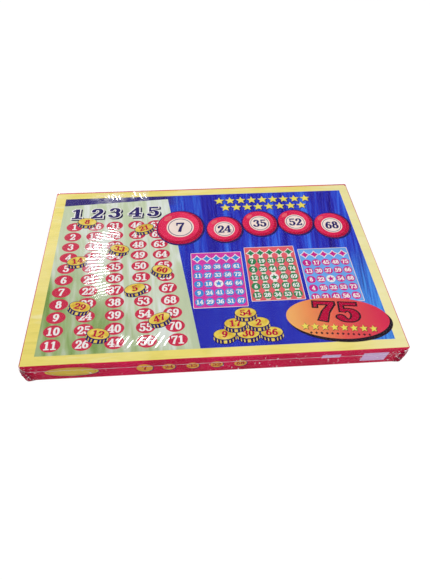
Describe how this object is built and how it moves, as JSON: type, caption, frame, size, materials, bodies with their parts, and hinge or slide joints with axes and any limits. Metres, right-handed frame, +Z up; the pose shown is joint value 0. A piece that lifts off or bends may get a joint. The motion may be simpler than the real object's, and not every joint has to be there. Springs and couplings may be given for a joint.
{
  "type": "boxed bingo game",
  "caption": "Flat lift-off-lid box in clear shrink film, with a folded insert holding a caller's board, banded number cards, a bag of tokens and a leaflet.",
  "frame": {"origin": "on the table, under the middle of the closed box", "axes": "+X along the box's long side, to the right in the picture; +Y towards the back edge; +Z up"},
  "size_m": [0.4014, 0.2634, 0.0311],
  "materials": {
    "greyboard": "matte",
    "cover_print": "gloss varnish",
    "tray_paper": "gloss varnish",
    "corner_tape": "matte",
    "shrink_film": "clear gloss",
    "insert_card": "matte",
    "board_print": "satin",
    "magenta_card": "satin",
    "red_card": "satin",
    "blue_card": "satin",
    "band_paper": "matte",
    "bag_cloth": "woven cotton",
    "token_plastic": "satin",
    "leaflet_paper": "matte"
  },
  "bodies": {
    "tray": {"tray_board": "greyboard", "tray_wrap": "tray_paper", "tray_corner_stays": "corner_tape", "film_lower": "shrink_film", "shelf_card": "insert_card", "well_liner": "insert_card", "divider_bridge": "insert_card", "caller_board": "greyboard", "caller_sheet": "board_print", "cards_magenta": "magenta_card", "cards_red": "red_card", "cards_blue": "blue_card", "card_bands": "band_paper", "token_bag": "bag_cloth", "number_tokens": "token_plastic", "rules_leaflet": "leaflet_paper"},
    "lid": {"lid_board": "greyboard", "lid_wrap": "cover_print", "lid_corner_stays": "corner_tape", "film_upper": "shrink_film"}
  },
  "joints": [
    {"name": "lid_lift", "type": "slide", "parent": "tray", "child": "lid", "axis": [0, 0, 1], "range_m": [0, 0.15]}
  ]
}
